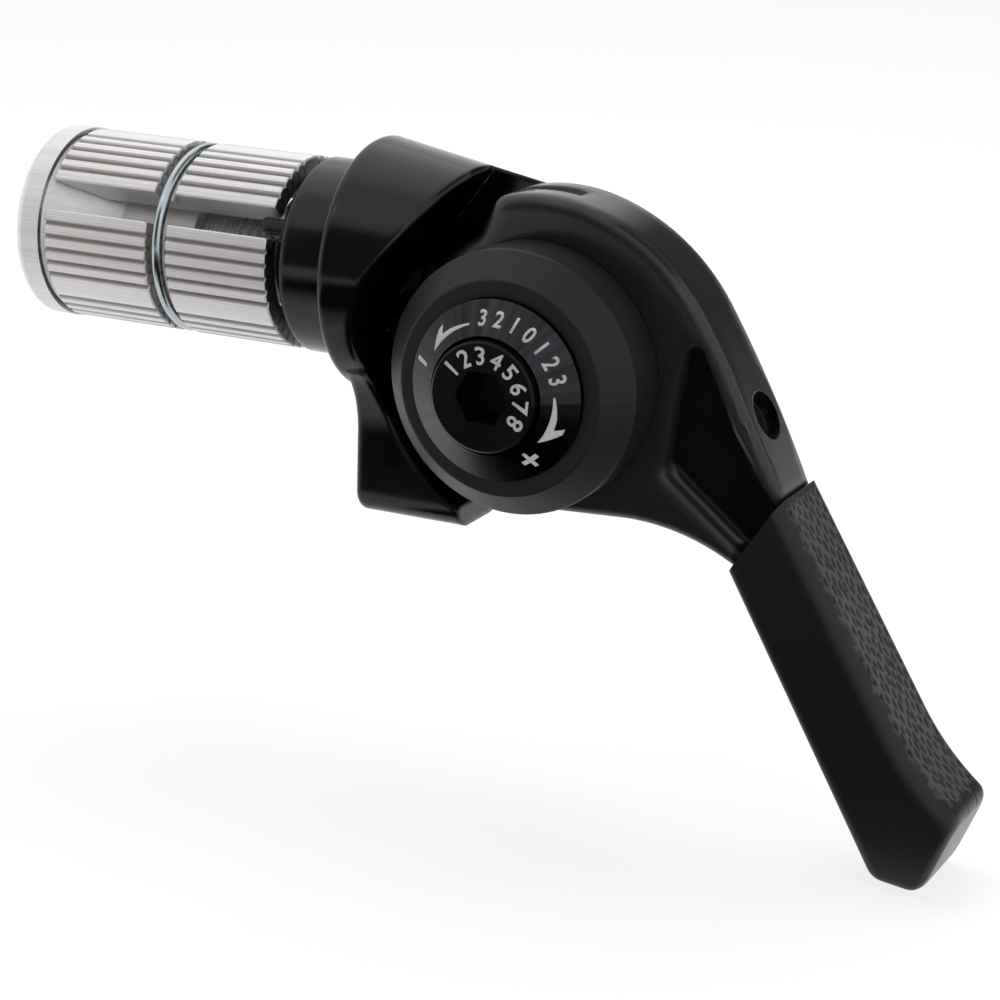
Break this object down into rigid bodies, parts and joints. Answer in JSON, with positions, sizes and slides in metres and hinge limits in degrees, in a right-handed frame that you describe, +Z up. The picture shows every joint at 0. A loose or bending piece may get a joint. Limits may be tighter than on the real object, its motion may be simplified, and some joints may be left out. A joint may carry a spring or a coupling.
{
  "type": "bar-end lever shifter",
  "caption": "Bar-end gear shifter: ribbed expanding plug, round pod with a cable foot, and a pivoting grip lever under a bevelled adjuster dial.",
  "frame": {"origin": "plug axis at the pod face where the handlebar end butts", "axes": "+X from the plug to the lever, the dial faces -Y, +Z up"},
  "size_m": [0.1018, 0.0303, 0.064],
  "materials": {
    "pod_black": "gloss black coat",
    "lever_black": "semi-gloss black",
    "grip_rubber": "matt, pebbled on the thumb face",
    "dial_matte": "satin dark grey",
    "dial_gloss": "polished dark ring with pale marks",
    "screw_black": "black",
    "plug_alloy": "bright, ribbed",
    "zinc_steel": "bluish zinc plate",
    "steel": "plain",
    "polished_steel": "polished",
    "bronze": "sintered",
    "nylon": "plain"
  },
  "bodies": {
    "pod": {"pod_body": "pod_black", "pivot_stud": "steel", "travel_pin": "steel", "bolt_washer": "steel", "back_washer": "nylon", "spring_washer": "steel", "centre_screw": "screw_black"},
    "lever": {"lever_body": "lever_black", "lever_grip": "grip_rubber", "lever_bushing": "bronze", "front_washer": "nylon", "detent_ball": "polished_steel", "detent_spring": "steel"},
    "dial": {"adjuster_dial": "dial_matte", "dial_ring": "dial_gloss", "index_plate": "steel"},
    "bolt": {"expander_bolt": "steel"},
    "nut": {"expander_nut": "plug_alloy"},
    "segment_1": {"grip_segment_1": "plug_alloy"},
    "segment_2": {"grip_segment_2": "plug_alloy"},
    "segment_3": {"grip_segment_3": "plug_alloy"},
    "ring": {"segment_ring": "zinc_steel"}
  },
  "joints": [
    {"name": "lever_turn", "type": "hinge", "parent": "pod", "child": "lever", "pos_m": [0.0207, 0, -0.00695], "axis": [0, -1, 0], "range_deg": [0, 94.5]},
    {"name": "dial_turn", "type": "hinge", "parent": "pod", "child": "dial", "pos_m": [0.0207, 0, -0.00695], "axis": [0, -1, 0], "range_deg": [-20, 20]},
    {"name": "bolt_turn", "type": "hinge", "parent": "pod", "child": "bolt", "pos_m": [0, 0, 0], "axis": [1, 0, 0], "range_deg": [0, 360.5]},
    {"name": "nut_slide", "type": "slide", "parent": "pod", "child": "nut", "axis": [1, 0, 0], "range_m": [0, 0.001]},
    {"name": "segment_1_slide", "type": "slide", "parent": "pod", "child": "segment_1", "axis": [0.7071, -0.599, -0.3758], "range_m": [0, 0.0005642]},
    {"name": "segment_2_slide", "type": "slide", "parent": "pod", "child": "segment_2", "axis": [0.7071, 0.6249, -0.3309], "range_m": [0, 0.0005642]},
    {"name": "segment_3_slide", "type": "slide", "parent": "pod", "child": "segment_3", "axis": [0.7071, -0.0259, 0.7066], "range_m": [0, 0.0005642]},
    {"name": "ring_slide", "type": "slide", "parent": "pod", "child": "ring", "axis": [1, 0, 0], "range_m": [0, 0.0003993]}
  ],
  "couplings": [
    {"joint": "bolt_turn", "follows": "nut_slide", "rad_per_m": 6283.2},
    {"joint": "segment_1_slide", "follows": "nut_slide", "ratio": 0.56324},
    {"joint": "segment_2_slide", "follows": "nut_slide", "ratio": 0.56324},
    {"joint": "segment_3_slide", "follows": "nut_slide", "ratio": 0.56324},
    {"joint": "ring_slide", "follows": "nut_slide", "ratio": 0.39827}
  ]
}
